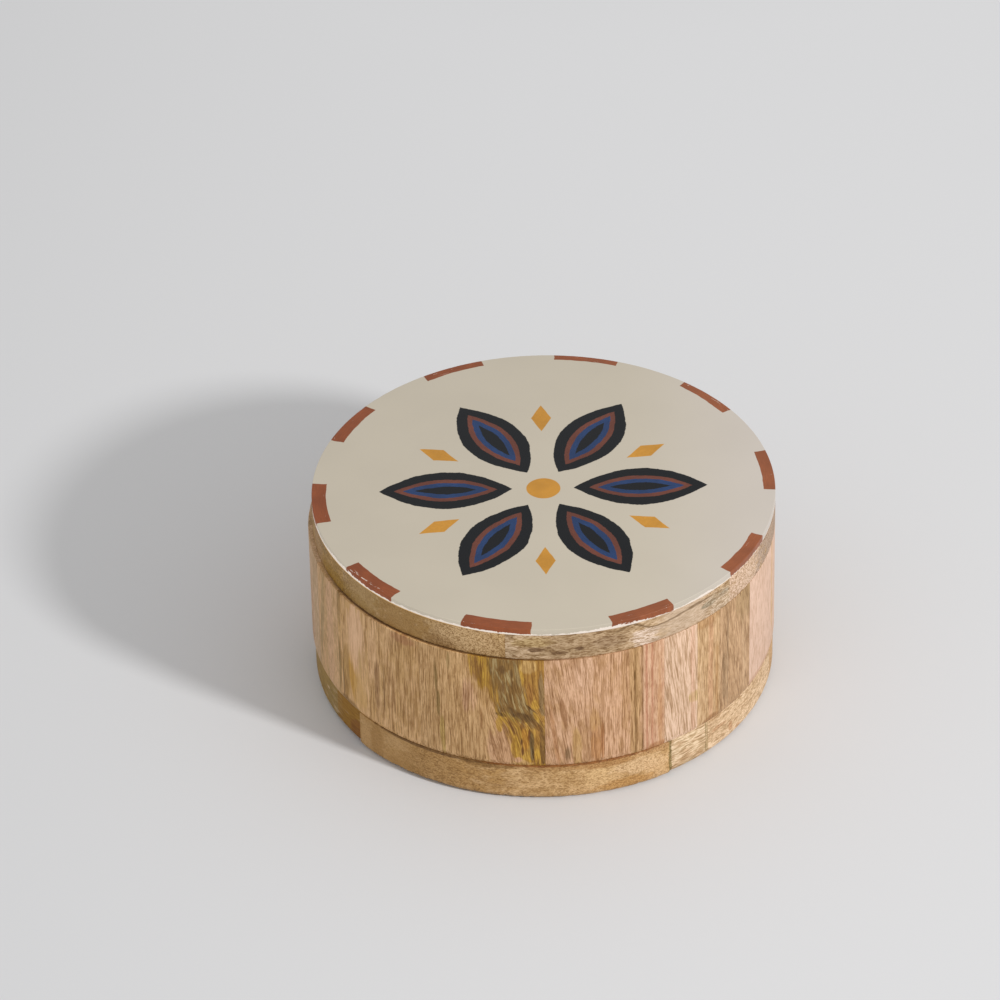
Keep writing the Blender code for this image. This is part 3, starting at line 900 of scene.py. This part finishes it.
def enamel_finish(paints):
    """Cream enamel with a dashed border and a six-petalled rosette painted on it."""
    finish = Finish("painted_enamel")
    plain = finish.vector("SUBTRACT", finish.place(), (LID_CENTRE, 0.0, 0.0))
    wobble = finish.noise(plain, 140.0, 3.0)
    shake = finish.noise(plain, 900.0, 2.0)
    x, y, z = finish.split(plain)
    radius = finish.math("SQRT", x * x + y * y) / LID_RADIUS
    angle = finish.math("ARCTAN2", x, y * -1.0) * math.degrees(1)

    ground = finish.mix(finish.noise(plain, 22.0, 3.0).smooth(0.3, 0.7), paints.enamel,
                        [c * 0.965 for c in paints.enamel])
    # A painted cool reflection lightens the ground and turns it bluer to the right
    painted_cool_reflection = finish.mix(x.smooth(0.03, 0.1), (1.0, 1.0, 1.0), (1.05, 1.06, 1.17))
    ground = finish.mix(1.0, ground, painted_cool_reflection, "MULTIPLY")

    def strokes(paint, along, across, lighter):
        """Paint laid on with a brush: fine streaks along the way that it was pulled."""
        hairs = finish.noise(finish.combine(across, along, 0.0), 1.0, 3.0, 0.6)
        pools = finish.noise(plain, 75.0, 2.0)
        streaked = finish.mix(hairs.smooth(0.35, 0.7), paint, [c * lighter for c in paint])
        return finish.mix(pools.smooth(0.35, 0.65) * 0.5, streaked, [c * 0.75 for c in paint])

    # Petals and lozenges lie in sixths of a turn
    def sixth(turn):
        part = finish.math("WRAP", angle + turn, 30.0, -30.0) * math.radians(1)
        return radius * finish.math("COSINE", part), radius * finish.math("SINE", part)

    out, side = sixth(30.0)
    share = (out - PETAL_MIDDLE) / PETAL_LENGTH
    petal = 1 - share * share - abs(side) / PETAL_WIDTH
    petal = petal + (wobble - 0.5) * 0.12 + (shake - 0.5) * 0.04
    lozenge_out, lozenge_side = sixth(0.0)
    lozenge = 1 - abs(lozenge_out - LOZENGE_MIDDLE) / LOZENGE_LENGTH
    lozenge = lozenge - abs(lozenge_side) / LOZENGE_WIDTH + (wobble - 0.5) * 0.2
    heart = 1 - radius / HEART_RADIUS + (wobble - 0.5) * 0.08

    navy = strokes(paints.navy, out * 30, side * 380, 1.5)
    rust = strokes(paints.rust, out * 30, side * 380, 1.5)
    blue = strokes(paints.blue, out * 30, side * 380, 1.6)
    ochre = strokes(paints.ochre, radius * 60, angle * 0.6, 1.12)
    colour = finish.mix(petal.smooth(0.0, 0.025), ground, navy)
    for edge, paint in zip(PETAL_BANDS, (rust, blue, navy)):
        colour = finish.mix(petal.smooth(edge, edge + 0.025), colour, paint)
    colour = finish.mix(lozenge.smooth(0.0, 0.06), colour, ochre)
    colour = finish.mix(heart.smooth(0.0, 0.05), colour, ochre)

    # Ten dashes run out over the edge. They begin further out at the rear, and at the left further
    # in and further round
    turn = angle * math.radians(1)
    rear = finish.math("COSINE", turn).smooth(-0.2, -1.0)
    left = finish.math("SINE", turn).smooth(0.2, -0.9)
    dash_angle = angle + (wobble - 0.5) * 1.2 + left * 1.3
    dash_place = finish.math("WRAP", dash_angle - DASH_START, DASH_STEP / 2, -DASH_STEP / 2)
    inner = radius + (wobble - 0.5) * 0.012 - rear * 0.018 + left * 0.010
    dash = abs(dash_place).smooth(*DASH_ENDS) * inner.smooth(*DASH_BEGINS)
    terracotta = strokes(paints.border, angle * 0.35, radius * 300, 1.3)
    # Painted light on the dashes: a cool sheen to the right, and painted shade, darker and warmer,
    # to the left
    painted_cool_sheen = finish.mix(x.smooth(-0.08, 0.08), (0.97, 0.88, 0.78), (1.1, 1.16, 1.22))
    terracotta = finish.mix(1.0, terracotta, painted_cool_sheen, "MULTIPLY")

    # Scratches run along them, and near the rim of one the paint is flecked away
    scratch_place = finish.combine(angle * 0.12, radius * 330, 4.0)
    scratches = finish.noise(scratch_place, 1.0, 1.0).smooth(0.745, 0.765)
    flecks = finish.noise(finish.combine(angle * 0.45, radius * 130, 2.0), 1.0, 3.0, 0.6)
    flecks = (flecks + abs(angle + 52).smooth(9, 3) * 0.11).smooth(0.68, 0.70)
    scratches = scratches + flecks * radius.smooth(0.980, 0.988)
    terracotta = finish.mix(finish.math("MINIMUM", scratches, 1.0) * 0.75, terracotta, paints.rim)
    colour = finish.mix(dash, colour, terracotta)

    # The bare ground shows white along the lower edge, and in chips through the dashes
    chips = finish.noise(finish.combine(angle * 0.55, z * 500, 0.0), 1.0, 4.0, 0.75)
    spread = finish.noise(plain, 45.0, 1.0)
    lip = abs(angle + 48).smooth(42, 22) * 0.7
    bare = (z - ENAMEL_SEAT) * 1000 - lip + dash * 0.3
    worn = abs(abs(angle + 20) - 38).smooth(10, 3) * 0.6
    bare = bare + (chips - 0.5) * (2.6 + worn * 3) - spread.smooth(0.45, 0.7) * 0.7 - worn
    upright = z.smooth(ENAMEL_TOP, ENAMEL_TOP - 0.00012)
    colour = finish.mix(bare.smooth(0.75, 0.5) * upright, colour, paints.rim)

    # At the left the wood's lacquer runs up over that white line
    lacquer = lip * 0.0011 - 0.0002 - (z - ENAMEL_SEAT) + (chips - 0.5) * 0.0003
    colour = finish.mix(lacquer.smooth(-0.0001, 0.0001), colour, STRAW)

    # Painted shade darkens the coat's upright edge to the right, where it faces the lamp, and a
    # painted highlight lightens it to the left
    lamp_facing = finish.math("COSINE", (angle - 52.0) * math.radians(1)).smooth(-0.2, 1.0)
    painted_counter_light = finish.mix(lamp_facing, (1.45, 1.45, 1.45), (0.84, 0.84, 0.84))
    colour = finish.mix(upright, colour, finish.mix(1.0, colour, painted_counter_light, "MULTIPLY"))

    paint = petal.smooth(0.0, 0.025) + dash
    finish.surface(base_color=colour, roughness=ENAMEL_ROUGHNESS + paint * 0.08)
    finish.shader.inputs["Specular IOR Level"].default_value = ENAMEL_SPECULAR
    finish.bump(paint + finish.noise(plain, 30.0, 1.0), 0.2, 0.00005)
    return finish.material


def corner(x, z, out_x, out_z, ease, steps=CORNER_STEPS, falling=True):
    """Points of a rounded corner, each with the way it gives as the corner wears rounder.

    They run from the level face to the upright face, or back where falling is false.
    """
    points = []
    for step in range(steps + 1):
        turn = math.pi / 2 * step / steps
        give = out_x * (math.sin(turn) - 1), out_z * (math.cos(turn) - 1)
        points.append((x + ease * give[0], z + ease * give[1], *give))
    return points if falling else points[::-1]


def still(x, z):
    """A profile point that doesn't wear."""
    return x, z, 0.0, 0.0


def base_profile(sizes, inset, foot):
    """Half section of the base, from its top centre down the outer side to its underside."""
    top = BASE_HIGH.z
    radius = OUTER_RADIUS - inset
    upper = corner(radius, top, 1, 1, sizes.base_ease)
    lower = corner(radius, 0.0, 1, -1, foot, FOOT_STEPS, falling=False)
    return [still(0.0, top), *upper, *lower, still(0.0, 0.0)]


def wall_profile(sizes):
    """Section of the wall, closed. Its foot draws in and leaves a ledge on the base."""
    low, high = WALL_SEAT, WALL_HIGH.z
    inner = OUTER_RADIUS - sizes.wall
    drawn = [
        still(OUTER_RADIUS - sizes.ledge * inward, low + sizes.ledge * up)
        for inward, up in ((0.0, 4.0), (0.2, 2.5), (0.6, 1.0), (1.0, 0.0))
    ]
    return [
        *corner(OUTER_RADIUS, high, 1, 1, sizes.ease),
        *drawn,
        still(inner, low),
        *corner(inner, high, -1, 1, sizes.mouth, falling=False),
    ]


def lid_profile(sizes):
    """Half section of the lid, with the spigot that drops inside the wall."""
    spigot = OUTER_RADIUS - sizes.wall - sizes.spigot
    bottom, top = LID_LOW.z, ENAMEL_SEAT
    return [
        still(0.0, top),
        *corner(LID_RADIUS, top, 1, 1, sizes.ease),
        *corner(LID_RADIUS, LID_SEAT, 1, -1, sizes.lid_ease, falling=False),
        still(spigot, LID_SEAT),
        *corner(spigot, bottom, 1, -1, sizes.mouth, falling=False),
        still(0.0, bottom),
    ]


def enamel_profile(sizes):
    """Half section of the enamel coat, closed below."""
    bottom, top = ENAMEL_SEAT + HAIRLINE, ENAMEL_TOP
    return [
        still(0.0, top),
        *corner(LID_RADIUS, top, 1, 1, sizes.enamel_round, FOOT_STEPS),
        *corner(LID_RADIUS, bottom, 1, -1, sizes.ease / 2, falling=False),
        still(0.0, bottom),
    ]


def turning_tree():
    """Geometry nodes that turn a profile about Z and wear its corners unevenly."""
    group = bpy.data.node_groups.new("turned shape", "GeometryNodeTree")
    group.interface.new_socket("Geometry", in_out="OUTPUT", socket_type="NodeSocketGeometry")
    kinds = {
        "Geometry": "NodeSocketGeometry", "Start": "NodeSocketFloat", "Sweep": "NodeSocketFloat",
        "Steps": "NodeSocketInt", "Centre": "NodeSocketFloat", "Wear": "NodeSocketFloat",
        "Cells": "NodeSocketFloat", "Seed": "NodeSocketFloat", "Merge": "NodeSocketFloat",
        "Material": "NodeSocketMaterial",
    }
    for name, kind in kinds.items():
        group.interface.new_socket(name, in_out="INPUT", socket_type=kind)
    tree = Tree(group)
    given = {name: tree.node("NodeGroupInput", output=name) for name in kinds}

    # The path's points carry their angle, the profile's points their place and their give
    line = tree.node("GeometryNodeCurvePrimitiveLine")
    path = tree.node(
        "GeometryNodeResampleCurve", sockets={"Curve": line, "Count": given["Steps"] + 1}
    )
    turn = given["Start"] + given["Sweep"] * tree.node("GeometryNodeSplineParameter")
    path = tree.node(
        "GeometryNodeStoreNamedAttribute", sockets={"Geometry": path, "Name": "turn", "Value": turn}
    )
    profile = tree.node("GeometryNodeMeshToCurve", sockets={"Mesh": given["Geometry"]})
    shape = tree.node(
        "GeometryNodeCurveToMesh",
        sockets={"Curve": path, "Profile Curve": profile, "Fill Caps": True},
    )

    def carried(name, kind="FLOAT"):
        return tree.node("GeometryNodeInputNamedAttribute", {"data_type": kind}, {"Name": name})

    around = carried("turn")
    cosine, sine = tree.math("COSINE", around), tree.math("SINE", around)
    give_x, give_z, _ = tree.split(carried("give", "FLOAT_VECTOR"))
    far, up, _ = tree.split(carried("place", "FLOAT_VECTOR"))
    cells = given["Cells"]
    spot = tree.combine(cosine * cells, sine * cells, given["Seed"])
    worn = tree.noise(spot, detail=4.0, roughness=0.6).smooth(0.42, 0.78) * given["Wear"]
    radius = far + give_x * worn
    place = tree.combine(radius * cosine + given["Centre"], radius * sine, up + give_z * worn)
    shape = tree.node("GeometryNodeSetPosition", sockets={"Geometry": shape, "Position": place})
    merge = {"Geometry": shape, "Distance": given["Merge"]}
    shape = tree.node("GeometryNodeMergeByDistance", sockets=merge)
    shape = tree.node("GeometryNodeRealizeInstances", sockets={"Geometry": shape})
    paint = {"Geometry": shape, "Material": given["Material"]}
    shape = tree.node("GeometryNodeSetMaterial", sockets=paint)
    tree.node("NodeGroupOutput", sockets={0: shape})
    return group


def turned(profile, material, start=0.0, sweep=math.tau, centre=0.0, wear=0.0, cells=WEAR_CELLS,
           seed=0.0, closed=False):
    """Turn a profile about Z between two angles from the front, and return the mesh."""
    mesh = bpy.data.meshes.new("profile")
    count = len(profile)
    edges = [(n, n + 1) for n in range(count - 1)]
    if closed:
        edges.append((count - 1, 0))
    mesh.from_pydata([(x, z, 0.0) for x, z, _, _ in profile], edges, [])
    for name, first in (("place", 0), ("give", 2)):
        layer = mesh.attributes.new(name, "FLOAT_VECTOR", "POINT")
        flat = [value for point in profile for value in (point[first], point[first + 1], 0.0)]
        layer.data.foreach_set("vector", flat)

    host = bpy.data.objects.new("profile", mesh)
    bpy.context.scene.collection.objects.link(host)
    group = bpy.data.node_groups.get("turned shape") or turning_tree()
    modifier = host.modifiers.new("turn", "NODES")
    modifier.node_group = group
    values = {
        "Start": start - math.pi / 2, "Sweep": sweep, "Centre": centre, "Wear": wear,
        "Steps": max(2, round(TURN_STEPS * sweep / math.tau)), "Cells": cells, "Seed": seed,
        "Merge": MERGE_DISTANCE, "Material": material,
    }
    for socket in group.interface.items_tree:
        if socket.in_out == "INPUT" and socket.name in values:
            modifier[socket.identifier] = values[socket.name]
    depsgraph = bpy.context.evaluated_depsgraph_get()
    result = bpy.data.meshes.new_from_object(host.evaluated_get(depsgraph))
    bpy.data.objects.remove(host)
    return result


def saw(bm, point, normal):
    """Saw off everything on the side that the normal points to, and close the cut."""
    geometry = bm.verts[:] + bm.edges[:] + bm.faces[:]
    cut = bmesh.ops.bisect_plane(
        bm, geom=geometry, dist=MERGE_DISTANCE, plane_co=point, plane_no=normal, clear_outer=True
    )
    edges = [item for item in cut["geom_cut"] if isinstance(item, bmesh.types.BMEdge)]
    bmesh.ops.holes_fill(bm, edges=edges, sides=0)


def finish_piece(name, mesh, planes, body, node):
    """Saw a turned mesh at its glue planes and put it in the scene in place of its node."""
    bm = bmesh.new()
    bm.from_mesh(mesh)
    for point, normal in planes:
        saw(bm, point, normal)
    bmesh.ops.recalc_face_normals(bm, faces=bm.faces[:])
    if bm.calc_volume(signed=True) <= 0:
        raise RuntimeError(f"{name} is inside out")
    bm.to_mesh(mesh)
    bm.free()
    mesh.name = name
    mesh.shade_smooth()
    mesh.set_sharp_from_angle(angle=SHARP_ANGLE)
    piece = bpy.data.objects.new(name, mesh)
    bpy.context.scene.collection.objects.link(piece)
    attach(piece, body)
    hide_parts(node)


def angles_of(node, centre=0.0):
    """First and last angle round the box that a node reaches, from the front."""
    low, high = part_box(node)
    middle = Vector(((low.x + high.x) / 2 - centre, (low.y + high.y) / 2))
    facing = math.atan2(middle.x, -middle.y)
    turns = []
    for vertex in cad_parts[node].data.vertices:
        x, y = vertex.co.x - centre, vertex.co.y
        angle = math.atan2(x, -y) - facing
        turns.append(math.atan2(math.sin(angle), math.cos(angle)))
    return facing + min(turns), facing + max(turns)


def board_planes(node, facing, glue, blank_reach, centre=0.0):
    """The glue planes that bound a board, read from its node, half a glue line from its faces."""
    out = Vector((math.sin(facing), -math.cos(facing), 0.0))
    origin = Vector((centre, 0.0, 0.0))
    offsets = [(vertex.co - origin).dot(out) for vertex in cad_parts[node].data.vertices]
    planes = []
    for offset, side in ((min(offsets), -1), (max(offsets), 1)):
        if abs(offset) < blank_reach:
            edge = offset + side * (GLUE_IN_SOLIDS - glue) / 2
            planes.append((origin + out * edge, out * side))
    return planes


class KEEPSAKE_OT_base(bpy.types.Operator):
    """Turn and saw the boards of the base."""

    bl_idname = "keepsake.base"
    bl_label = "Base boards"

    def execute(self, context):
        sizes = context.scene.keepsake_sizes
        for index, node in enumerate(BASE_NODES):
            look = BASE_WOODS[node]
            material = wood_finish(
                node, look, BASE_FACING, BASE_LOW.z, BASE_HIGH.z, index + BASE_SEED, False
            )
            first = index == 0
            profile = base_profile(
                sizes, 0.0 if first else sizes.base_inset, sizes.first_foot if first else sizes.foot
            )
            mesh = turned(
                profile, material, centre=0.0 if first else sizes.base_shift,
                wear=BASE_WEARS[index], seed=index * SEED_STEP,
            )
            planes = board_planes(node, BASE_FACING, sizes.glue, OUTER_RADIUS * RIM_SHARE)
            finish_piece(f"{node}_wood", mesh, planes, "box", node)
        return {"FINISHED"}


class KEEPSAKE_OT_wall(bpy.types.Operator):
    """Turn the staves of the wall, each between its own two joints."""

    bl_idname = "keepsake.wall"
    bl_label = "Wall staves"

    def execute(self, context):
        sizes = context.scene.keepsake_sizes
        for index, node in enumerate(STAVE_NODES):
            start, end = angles_of(node)
            facing = (start + end) / 2
            material = wood_finish(
                node, STAVE_WOODS[node], facing, WALL_LOW.z, WALL_HIGH.z, index + WALL_SEED, True,
                flamed=node == FLAMED_STAVE,
            )
            widen = (GLUE_IN_SOLIDS - sizes.glue) / 2 / OUTER_RADIUS
            mesh = turned(
                wall_profile(sizes), material, start - widen, end - start + 2 * widen,
                wear=WALL_WEAR, seed=WALL_WEAR_SEED, closed=True,
            )
            finish_piece(f"{node}_wood", mesh, [], "box", node)
        return {"FINISHED"}


class KEEPSAKE_OT_lid(bpy.types.Operator):
    """Turn and saw the boards of the lid."""

    bl_idname = "keepsake.lid"
    bl_label = "Lid boards"

    def execute(self, context):
        sizes = context.scene.keepsake_sizes
        for index, node in enumerate(LID_NODES):
            material = wood_finish(
                node, LID_WOODS[node], LID_FACING, LID_SEAT, LID_HIGH.z, index + LID_SEED, False,
                LID_CENTRE,
            )
            mesh = turned(
                lid_profile(sizes), material, centre=LID_CENTRE, wear=LID_WEAR,
                seed=index * SEED_STEP,
            )
            planes = board_planes(
                node, LID_FACING, sizes.glue, LID_RADIUS * RIM_SHARE, LID_CENTRE
            )
            finish_piece(f"{node}_wood", mesh, planes, "lid", node)
        return {"FINISHED"}


class KEEPSAKE_OT_enamel(bpy.types.Operator):
    """Pour the enamel on the lid and paint it."""

    bl_idname = "keepsake.enamel"
    bl_label = "Enamel and paint"

    def execute(self, context):
        sizes = context.scene.keepsake_sizes
        material = enamel_finish(context.scene.keepsake_paints)
        mesh = turned(
            enamel_profile(sizes), material, centre=LID_CENTRE, wear=ENAMEL_WEAR,
            cells=ENAMEL_WEAR_CELLS,
        )
        finish_piece("enamel_coat", mesh, [], "lid", "enamel_top")
        return {"FINISHED"}


class KEEPSAKE_OT_studio(bpy.types.Operator):
    """Set up the floor, the lamp, the sky and the camera."""

    bl_idname = "keepsake.studio"
    bl_label = "Studio"

    def execute(self, context):
        studio = context.scene.keepsake_studio
        context.scene.view_settings.view_transform = "Standard"
        make_floor(studio)
        make_light(studio)
        make_sky(studio)
        make_camera(studio)
        return {"FINISHED"}


def make_floor(studio):
    bm = bmesh.new()
    bmesh.ops.create_grid(bm, x_segments=1, y_segments=1, size=studio.floor_size / 2)
    mesh = bpy.data.meshes.new("floor")
    bm.to_mesh(mesh)
    bm.free()
    finish = Finish("pale_floor")
    x, y, _ = finish.split(finish.place())
    # Painted light: the floor's grey rises and falls over it in place of fill light
    slope = FLOOR_LEVEL + x * FLOOR_RIGHT + y * FLOOR_BACK
    slope = slope + x * x * FLOOR_OUT + x * y * FLOOR_ASLANT
    darkest, lightest = FLOOR_RANGE
    shade = finish.node("ShaderNodeClamp", sockets={0: slope, 1: darkest, 2: lightest})
    scale = {"operation": "SCALE"}
    grey = finish.node("ShaderNodeVectorMath", scale, {0: tuple(studio.floor), 3: shade})
    finish.surface(base_color=grey, roughness=0.9)
    finish.shader.inputs["Specular IOR Level"].default_value = 0.0
    mesh.materials.append(finish.material)
    floor = bpy.data.objects.new("floor", mesh)
    bpy.context.scene.collection.objects.link(floor)


def make_light(studio):
    data = bpy.data.lights.new("key", "AREA")
    data.shape = "DISK"
    data.size = studio.lamp_size
    data.energy = studio.lamp_power
    lamp = bpy.data.objects.new("key", data)
    flat = math.cos(studio.lamp_height)
    way = Vector((
        flat * math.sin(studio.lamp_azimuth),
        -flat * math.cos(studio.lamp_azimuth),
        math.sin(studio.lamp_height),
    ))
    lamp.location = way * studio.lamp_distance
    lamp.rotation_mode = "QUATERNION"
    lamp.rotation_quaternion = way.to_track_quat("Z", "Y")
    bpy.context.scene.collection.objects.link(lamp)


def make_sky(studio):
    world = bpy.data.worlds.new("sky")
    world.use_nodes = True
    background = world.node_tree.nodes["Background"]
    background.inputs["Color"].default_value = (1.0, 1.0, 1.0, 1.0)
    background.inputs["Strength"].default_value = studio.sky
    bpy.context.scene.world = world


def make_camera(studio):
    data = bpy.data.cameras.new("camera")
    data.lens = studio.lens
    data.sensor_width = 36.0
    data.clip_end = 20.0
    camera = bpy.data.objects.new("camera", data)
    look = Matrix.Rotation(math.pi / 2 - studio.pitch, 3, "X")
    turn = look @ Matrix.Rotation(studio.roll, 3, "Z")
    away = Vector(studio.offset)
    location = turn @ Vector((-away.x, away.y, away.z))
    camera.matrix_world = Matrix.Translation(location) @ turn.to_4x4()
    bpy.context.scene.collection.objects.link(camera)
    bpy.context.scene.camera = camera


class KEEPSAKE_PT_panel(bpy.types.Panel):
    """Lists the sizes, the colours and the steps that build the box."""

    bl_idname = "KEEPSAKE_PT_panel"
    bl_label = "Keepsake Box"
    bl_space_type = "VIEW_3D"
    bl_region_type = "UI"
    bl_category = "Keepsake Box"

    def draw(self, context):
        scene = context.scene
        for group in (scene.keepsake_sizes, scene.keepsake_paints, scene.keepsake_studio):
            box = self.layout.box()
            for name in group.__annotations__:
                box.prop(group, name)
        for operator in OPERATORS:
            self.layout.operator(operator.bl_idname)


GROUPS = {
    "keepsake_sizes": KeepsakeSizes,
    "keepsake_paints": KeepsakePaints,
    "keepsake_studio": KeepsakeStudio,
}
OPERATORS = (
    KEEPSAKE_OT_base, KEEPSAKE_OT_wall, KEEPSAKE_OT_lid, KEEPSAKE_OT_enamel, KEEPSAKE_OT_studio,
)


def register():
    for item in (*GROUPS.values(), *OPERATORS, KEEPSAKE_PT_panel):
        bpy.utils.register_class(item)
    for name, group in GROUPS.items():
        setattr(bpy.types.Scene, name, bpy.props.PointerProperty(type=group))


def unregister():
    for name in GROUPS:
        delattr(bpy.types.Scene, name)
    for item in (KEEPSAKE_PT_panel, *reversed(OPERATORS), *reversed(GROUPS.values())):
        bpy.utils.unregister_class(item)


def main():
    """Build everything in order."""
    register()
    bpy.ops.keepsake.studio()
    bpy.ops.keepsake.base()
    bpy.ops.keepsake.wall()
    bpy.ops.keepsake.lid()
    bpy.ops.keepsake.enamel()


if __name__ == "__main__":
    main()
